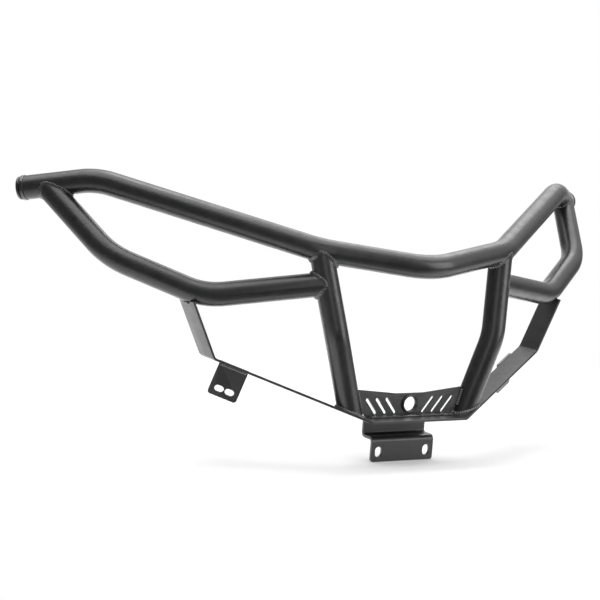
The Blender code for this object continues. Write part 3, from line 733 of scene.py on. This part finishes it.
def sweep(sections, is_loop=False):
    """A closed skin through these sections, capped at both ends unless it is a loop."""
    bm = bmesh.new()
    rings = [[bm.verts.new(point) for point in section] for section in sections]
    pairs = list(zip(rings, rings[1:])) + ([(rings[-1], rings[0])] if is_loop else [])
    for ring, following in pairs:
        for index in range(len(ring)):
            after = (index + 1) % len(ring)
            bm.faces.new((ring[index], ring[after], following[after], following[index]))
    if not is_loop:
        bm.faces.new(rings[0])
        bm.faces.new(rings[-1])
    bmesh.ops.recalc_face_normals(bm, faces=bm.faces)
    return bm


def circle_at(centre, first, second, radius, facets):
    section = []
    for index in range(facets):
        angle = 2 * math.pi * index / facets
        section.append(centre + (first * math.cos(angle) + second * math.sin(angle)) * radius)
    return section


def solid_of(bm):
    """What rays meet of this body."""
    solid = BVHTree.FromBMesh(bm)
    bm.free()
    return solid


def rod_solid(corners):
    """What rays meet where a tube runs along these corners."""
    path = bent_path(corners, TUBE_BEND_RADIUS)
    direction = path[0][1]
    first = UP.cross(direction).normalized()
    sections = []
    for point, following in path:
        first = direction.rotation_difference(following) @ first
        first = (first - following * first.dot(following)).normalized()
        direction = following
        sections.append(circle_at(point, first, direction.cross(first), TUBE_RADIUS, TUBE_FACETS))
    return solid_of(sweep(sections))


def bar_sections(spread=0.0, rounding=BAR_EDGE_ROUNDING):
    """Sections of the flat bar from its left end to its right one."""
    bends = bar_corners()
    right = [Vector((corner.x, 0, corner.z)) for corner in bends]
    left = [mirrored(corner, -1) for corner in reversed(right)]
    around = ((0, 0), (1, 0), (1, 1), (0, 1))
    sections = []
    for point, direction in bent_path(left + right, BAR_BEND_RADIUS):
        down = BACK.cross(direction)
        front = bar_front_beside(point, bends) - spread
        width = BAR_WIDTH + 2 * spread
        section = []
        for turn, (at_rear, at_bottom) in enumerate(around):
            inward_y = rounding * (1 - 2 * at_rear)
            inward_z = rounding * (1 - 2 * at_bottom)
            for step in range(ARC_STEPS + 1):
                angle = QUARTER_TURN * (turn + step / ARC_STEPS)
                y = front + at_rear * width + inward_y - rounding * math.cos(angle)
                z = at_bottom * BAR_THICKNESS + inward_z - rounding * math.sin(angle)
                section.append(point + BACK * y + down * z)
        sections.append(section)
    return sections


# Tubes, bar and plates


def make_tube(name, node, corners, side):
    values = {
        "Diameter": TUBE_OD,
        "Bend Radius": TUBE_BEND_RADIUS,
        "Facets": TUBE_FACETS,
        "Bend Facets": TUBE_BEND_FACETS,
        "Finish": finishes["tube_coat"],
    }
    points = [placed(mirrored(corner, side)) for corner in corners]
    mesh = grown(name, line_mesh(points), tube_maker, values)
    mesh.set_sharp_from_angle(angle=SHARP_ANGLE)
    return dress(name, node, mesh, "tube_coat")


def trim_foot(obj, side, solid):
    """Ends the upright on the flat bar's upper face."""
    end = upright_corners()[-1]
    up_tube = (KNEE - end).normalized()
    for vert in obj.data.vertices:
        spot = mirrored(vert.co + ORIGIN, side)
        if (spot - end).length <= TUBE_END_REACH:
            met = solid.ray_cast(spot + up_tube * RAY_REACH, -up_tube)[0]
            vert.co = placed(mirrored(met, side))
    obj.data.update()


def make_bar():
    bm = sweep(bar_sections())
    bmesh.ops.translate(bm, verts=bm.verts, vec=-ORIGIN)
    dress("flat_bar", "lower_bar", smooth_mesh("flat_bar", bm), "plate_coat")


def make_soft_plate(name, node, edge):
    """A CAD plate's copy whose edges are rounded, as they are on cut and coated sheet."""
    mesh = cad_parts[node].data.copy()
    clean(mesh, FLAT_ANGLE)
    mesh.shade_smooth()
    obj = dress(name, node, mesh, "plate_coat")
    bevel = obj.modifiers.new("soft_edges", "BEVEL")
    bevel.width = edge
    bevel.segments = EDGE_SEGMENTS
    bevel.limit_method = "ANGLE"
    bevel.angle_limit = EDGE_ANGLE
    level = obj.modifiers.new("level_faces", "WEIGHTED_NORMAL")
    level.weight = LEVEL_WEIGHT


def turned(profile, centre, axis):
    """Sections of a body turned about an axis from (along, radius) pairs."""
    first = axis.orthogonal().normalized()
    second = axis.cross(first)
    sections = []
    for along, radius in profile:
        middle = centre + axis * along
        sections.append(circle_at(middle, first, second, radius, TURNED_FACETS))
    return sections


def arc_pairs(along, radius, size, start, end):
    """(along, radius) pairs of a rounded edge about this centre."""
    pairs = []
    for step in range(ARC_STEPS + 1):
        angle = start + (end - start) * step / ARC_STEPS
        pairs.append((along + size * math.sin(angle), radius + size * math.cos(angle)))
    return pairs


def make_plug(name, node, side):
    """Flange, groove and a rounded head with a shallow dish."""
    edge = PLUG_EDGE_ROUNDING
    rounding = PLUG_HEAD_ROUNDING
    flange_end = FITTING_GAP + PLUG_FLANGE_THICKNESS
    groove_end = flange_end + PLUG_GROOVE_WIDTH
    head_end = groove_end + PLUG_HEAD_THICKNESS
    flange = PLUG_FLANGE_RADIUS - edge
    head = PLUG_HEAD_RADIUS - rounding
    profile = [(FITTING_GAP, PLUG_GROOVE_RADIUS - edge)]
    profile += arc_pairs(FITTING_GAP + edge, flange, edge, -QUARTER_TURN, 0)
    profile += arc_pairs(flange_end - edge, flange, edge, 0, QUARTER_TURN)
    profile += [(flange_end, PLUG_GROOVE_RADIUS), (groove_end, PLUG_GROOVE_RADIUS)]
    profile += arc_pairs(groove_end + edge, PLUG_HEAD_RADIUS - edge, edge, -QUARTER_TURN, 0)
    profile += arc_pairs(head_end - rounding, head, rounding, 0, QUARTER_TURN)
    profile.append((head_end - PLUG_DISH, head - rounding))
    axis = mirrored(RAIL_END - CORNER, side).normalized()
    sections = turned(profile, placed(mirrored(RAIL_END, side)), axis)
    dress(name, node, smooth_mesh(name, sweep(sections)), "plug_plastic")


def make_hole_ring():
    edge = HOLE_RING_ROUNDING
    front = FITTING_GAP + HOLE_RING_HEIGHT - edge
    profile = [(0, HOLE_RADIUS + edge / 2), (0, HOLE_RING_RADIUS)]
    profile += arc_pairs(front, HOLE_RING_RADIUS - edge, edge, 0, QUARTER_TURN)
    profile += arc_pairs(front, HOLE_RADIUS + edge, edge, QUARTER_TURN, 2 * QUARTER_TURN)
    centre = placed(Vector((0, FACE_FRONT, BAR_FLOOR.z + HOLE_HEIGHT)))
    bm = sweep(turned(profile, centre, -BACK), True)
    dress("raised_ring", "hole_ring", smooth_mesh("raised_ring", bm), "plate_coat")


# Welds


def make_bead(title, side, stations, widths, ripple, is_loop=False, is_corner=False, fullness=1.0):
    """One rippled weld on the right, turned over for the left.

    A station is a point on the weld's line and the two directions across the weld there.
    """
    stations = [[mirrored(vector, side) for vector in station] for station in stations]
    points, first, second = zip(*stations)
    line = line_mesh([placed(point) for point in points], is_loop, zip(DIRECTIONS, (first, second)))
    values = {
        "First Width": widths[0],
        "Second Width": widths[1],
        "Corner": is_corner,
        "Ripple": ripple,
        "Ripple Depth": RING_RIPPLE_DEPTH if is_loop else SEAM_RIPPLE_DEPTH,
        "Fullness": fullness,
        "Bow": RIPPLE_BOW,
        "Unevenness": RIPPLE_UNEVENNESS,
        "Seed": float(WELD_SEEDS[title]),
        "Finish": finishes["weld_coat"],
    }
    mesh = grown(title, line, bead_maker, values)
    dress(title + "_bead", title + "_weld", mesh, "weld_coat")


def make_ring_bead(title, side, start, joint, solid):
    """Weld round a tube that runs from start to the joint, where it meets the solid."""
    run = (joint - start).normalized()
    across = run.orthogonal().normalized()
    other = run.cross(across)
    stations = []
    for step in range(BEAD_POINTS):
        angle = 2 * math.pi * step / BEAD_POINTS
        spoke = across * math.cos(angle) + other * math.sin(angle)
        origin = joint - run * RAY_REACH + spoke * (TUBE_RADIUS - BEAD_INSET)
        met, normal, _, _ = solid.ray_cast(origin, run)
        outer = (spoke - normal * spoke.dot(normal)).normalized()
        stations.append((met, outer, -run))
    make_bead(title, side, stations, (BEAD_REACH, BEAD_REACH), BEAD_RIPPLE, is_loop=True)


def make_small_bead(title, side, stations):
    widths = (SMALL_BEAD_RADIUS, SMALL_BEAD_RADIUS)
    make_bead(title, side, stations, widths, SMALL_BEAD_RIPPLE)


def make_seam(title, side, ends, first, second, ripple, fullness=1.0):
    """A straight weld in a corner, as wide on each face as first and second are long."""
    widths = (first.length, second.length)
    first = first.normalized()
    second = second.normalized()
    root = (first + second) * FITTING_GAP
    stations = [(end + root, first, second) for end in ends]
    make_bead(title, side, stations, widths, ripple, is_corner=True, fullness=fullness)


def make_face_bead(title, side, solid):
    """Weld between the face plate's side edge and the upright."""
    stations = []
    for step in range(ARC_STEPS + 1):
        height = FACE_BEAD_BOTTOM + (FACE_BEAD_TOP - FACE_BEAD_BOTTOM) * step / ARC_STEPS
        origin = Vector((0, FACE_FRONT, BAR_FLOOR.z + height))
        stations.append((solid.ray_cast(origin, ACROSS)[0], -ACROSS, -BACK))
    make_small_bead(title, side, stations)


def make_end_bead(title, side, below, solid):
    """Weld across the bar's end under the side tube, this far below the bar's upper face."""
    _, turn, top = bar_corners()
    run = Vector((top.x - turn.x, 0, top.z - turn.z)).normalized()
    outer = BACK.cross(run)
    middle = top + BACK * BAR_WIDTH / 2 + outer * below - run * TUBE_OD
    notch_half = math.sqrt(TUBE_RADIUS**2 - (TUBE_RADIUS - BAR_NOTCH_DEPTH) ** 2)
    half_length = notch_half - SMALL_BEAD_RADIUS
    facing = outer if below else -outer
    stations = []
    for step in range(ARC_STEPS + 1):
        along = half_length * (2 * step / ARC_STEPS - 1)
        stations.append((solid.ray_cast(middle + BACK * along, run)[0], facing, -run))
    make_small_bead(title, side, stations)


def make_tab_seam(title, side):
    """Weld in the corner between the bar's underside and the tab."""
    floor, turn, _ = bar_corners()
    along = (turn - floor).normalized()
    upright_normal = UP.cross(along).normalized()
    corner = floor + BACK * BAR_WIDTH + along * TAB_START + upright_normal * FITTING_GAP
    behind = Quaternion(along, TAB_LEAN) @ upright_normal
    rise = along.cross(behind)
    run = Vector((turn.x - floor.x, 0, turn.z - floor.z)).normalized()
    across = (BACK - along * along.y).normalized()
    under = corner + BACK.cross(run) * BAR_THICKNESS
    root = under + across * (corner - under).dot(behind) / across.dot(behind)
    start = root + along * SEAM_END_CLEARANCE
    end = root + along * (TAB_WIDTH - SEAM_END_CLEARANCE)
    first = -across * EDGE_SEAM_SIZE
    second = -rise * EDGE_SEAM_SIZE
    make_seam(title, side, (start, end), first, second, SMALL_BEAD_RIPPLE)


def make_middle_seam(title, middle, half_length, first, second, ripple, fullness=1.0):
    """A straight weld across the bumper's middle."""
    reach = ACROSS * half_length
    make_seam(title, 1, (middle - reach, middle + reach), first, second, ripple, fullness)


def make_middle_seams():
    foot = Vector((0, FACE_FRONT, BAR_FLOOR.z))
    first = -BACK * FOOT_SEAM_REACH
    second = UP * FOOT_SEAM_RISE
    make_middle_seam(
        "face_foot", foot, FOOT_SEAM_HALF_WIDTH, first, second, BEAD_RIPPLE, FOOT_SEAM_FULLNESS
    )
    half = BRACKET_SEAM_LENGTH / 2
    front = Vector((0, BRACKET_FLANGE_FRONT, BAR_FLOOR.z - BAR_THICKNESS))
    first = -BACK * SEAM_SIZE
    second = -UP * SEAM_SIZE
    make_middle_seam("bracket_front", front, half, first, second, BEAD_RIPPLE)
    rear = Vector((0, BAR_FLOOR.y + BAR_WIDTH, BAR_FLOOR.z - BAR_THICKNESS - FITTING_GAP))
    first = BACK * EDGE_SEAM_SIZE
    second = UP * EDGE_SEAM_SIZE
    make_middle_seam("bracket_rear", rear, half, first, second, SMALL_BEAD_RIPPLE)


# Assembly


def make_side(side, name, solids):
    rail, upright, side_tube, bar = solids
    foot = make_tube(name + "_upright_tube", name + "_upright", upright_corners(), side)
    trim_foot(foot, side, bar)
    make_tube(name + "_side_run", name + "_side_tube", side_corners(), side)
    make_soft_plate(name + "_tab_plate", name + "_tab", PLATE_EDGE)
    make_plug(name + "_end_plug", name + "_plug", side)
    on_rail, _, _, on_upright = side_corners()
    make_ring_bead(name + "_upright_rail", side, KNEE, upright_top(), rail)
    make_ring_bead(name + "_side_rail", side, ELBOW, on_rail, rail)
    make_ring_bead(name + "_side_upright", side, DIP, on_upright, upright)
    make_ring_bead(name + "_foot", side, KNEE, foot_corner(), bar)
    make_face_bead(name + "_face", side, upright)
    make_end_bead(name + "_bar_inner", side, 0, side_tube)
    make_end_bead(name + "_bar_outer", side, BAR_THICKNESS, side_tube)
    make_tab_seam(name + "_tab", side)


def make_bumper():
    solids = [rod_solid(corners) for corners in (rail_corners(), upright_corners(), side_corners())]
    solids.append(solid_of(sweep(bar_sections(TUBE_OD, RAY_BAR_ROUNDING))))
    make_tube("rail_tube", "top_rail", rail_corners(), 1)
    make_bar()
    make_soft_plate("vented_face_plate", "face_plate", PLATE_EDGE)
    make_soft_plate("bent_bracket", "centre_bracket", BRACKET_EDGE)
    make_hole_ring()
    for side, name in SIDES:
        make_side(side, name, solids)
    make_middle_seams()


# Floor, light and camera


def level_towards(tree, direction, start, end, low, high):
    """From low to high for rays that leave this way, by how near they come to it."""
    looking = add_node(tree, "ShaderNodeNewGeometry").outputs["Incoming"]
    facing = vector_maths(tree, "DOT_PRODUCT", {0: looking, 1: -direction}, "Value")
    return ranged(tree, facing, start, end, low, high, "SMOOTHSTEP")


def floor_surface():
    """White paint under the part, whose shadow it takes, and a plain level farther off.

    The camera sees that level as white. Reflections see it bright towards the backdrop, dim to
    the sides and nearly black at the front.
    """
    material = bpy.data.materials.new("white_floor")
    material.use_nodes = True
    tree = material.node_tree
    tree.nodes.clear()
    path = add_node(tree, "ShaderNodeLightPath").outputs
    paint = add_node(tree, "ShaderNodeBsdfDiffuse", {"Color": FLOOR_PAINT}).outputs[0]
    strength = maths(tree, "MULTIPLY", path["Is Camera Ray"], FLOOR_GLOW)
    strength = maths(tree, "MULTIPLY_ADD", path["Is Glossy Ray"], FLOOR_SHEEN, strength)
    glow = add_node(tree, "ShaderNodeEmission", {"Strength": strength}).outputs[0]
    shade = add_node(tree, "ShaderNodeAddShader", {0: paint, 1: glow}).outputs[0]
    place = add_node(tree, "ShaderNodeTexCoord").outputs["Object"]
    away = vector_maths(tree, "DISTANCE", {0: place, 1: FLOOR_CENTRE}, "Value")
    far_sheen = level_towards(tree, *BACKDROP, FLOOR_FAR, 1.0)
    layers = (
        ("Is Camera Ray", ranged(tree, away, *FLOOR_SEEN_FADE), 1.0),
        ("Is Glossy Ray", ranged(tree, away, *FLOOR_SHEEN_FADE), far_sheen),
        ("Is Glossy Ray", level_towards(tree, *FRONT, 0.0, FRONT_SHADE), 0.0),
    )
    for ray, share, strength in layers:
        plain = add_node(tree, "ShaderNodeEmission", {"Strength": strength}).outputs[0]
        entries = {0: maths(tree, "MULTIPLY", share, path[ray]), 1: shade, 2: plain}
        shade = add_node(tree, "ShaderNodeMixShader", entries).outputs[0]
    add_node(tree, "ShaderNodeOutputMaterial", {"Surface": shade})
    return material


def make_floor():
    """A white floor at the bracket's foot."""
    size = FLOOR_HALF_SIZE
    outline = ((-size, -size), (size, -size), (size, size), (-size, size))
    mesh = bpy.data.meshes.new("floor")
    mesh.from_pydata([(x, y, cad_box[0][2]) for x, y in outline], [], [(0, 1, 2, 3)])
    mesh.materials.append(floor_surface())
    floor = bpy.data.objects.new("floor", mesh)
    bpy.context.scene.collection.objects.link(floor)


def make_world():
    """A sky that is white to the camera, and bright above and behind in reflections."""
    world = bpy.data.worlds.new("studio")
    bpy.context.scene.world = world
    world.use_nodes = True
    tree = world.node_tree
    tree.nodes.clear()
    path = add_node(tree, "ShaderNodeLightPath").outputs
    overhead = level_towards(tree, *OVERHEAD, SKY_DIM, 1.0)
    behind = level_towards(tree, *BACKDROP, SKY_DIM, 1.0)
    level = maths(tree, "MAXIMUM", overhead, behind)
    strength = maths(tree, "SUBTRACT", level, SKY_PLAIN)
    strength = maths(tree, "MULTIPLY_ADD", strength, path["Is Glossy Ray"], SKY_PLAIN)
    strength = maths(tree, "MAXIMUM", strength, path["Is Camera Ray"])
    sky = add_node(tree, "ShaderNodeBackground", {"Color": (1, 1, 1, 1), "Strength": strength})
    add_node(tree, "ShaderNodeOutputWorld", {"Surface": sky.outputs[0]})


def make_softbox(name, place, target, width, height, power):
    data = bpy.data.lights.new(name, "AREA")
    data.shape = "RECTANGLE"
    data.size = width
    data.size_y = height
    data.energy = power
    lamp = bpy.data.objects.new(name, data)
    lamp.location = place
    lamp.rotation_euler = (Vector(target) - Vector(place)).to_track_quat("-Z", "Y").to_euler()
    bpy.context.scene.collection.objects.link(lamp)


def make_camera():
    data = bpy.data.cameras.new("camera")
    data.sensor_width = SENSOR_WIDTH
    data.lens = LENS
    data.clip_end = FARTHEST
    camera = bpy.data.objects.new("camera", data)
    right = CAMERA_RIGHT.normalized()
    back = right.cross(CAMERA_UP).normalized()
    up = back.cross(right)
    turn = Matrix((right, up, back)).transposed()
    camera.matrix_world = Matrix.Translation(CAMERA_PLACE) @ turn.to_4x4()
    bpy.context.scene.collection.objects.link(camera)
    bpy.context.scene.camera = camera


finishes = make_finishes()
tube_maker = tube_tree()
bead_maker = bead_tree()
make_bumper()
make_floor()
make_world()
for softbox in SOFTBOXES:
    make_softbox(*softbox)
make_camera()
bpy.context.scene.view_settings.view_transform = "Standard"
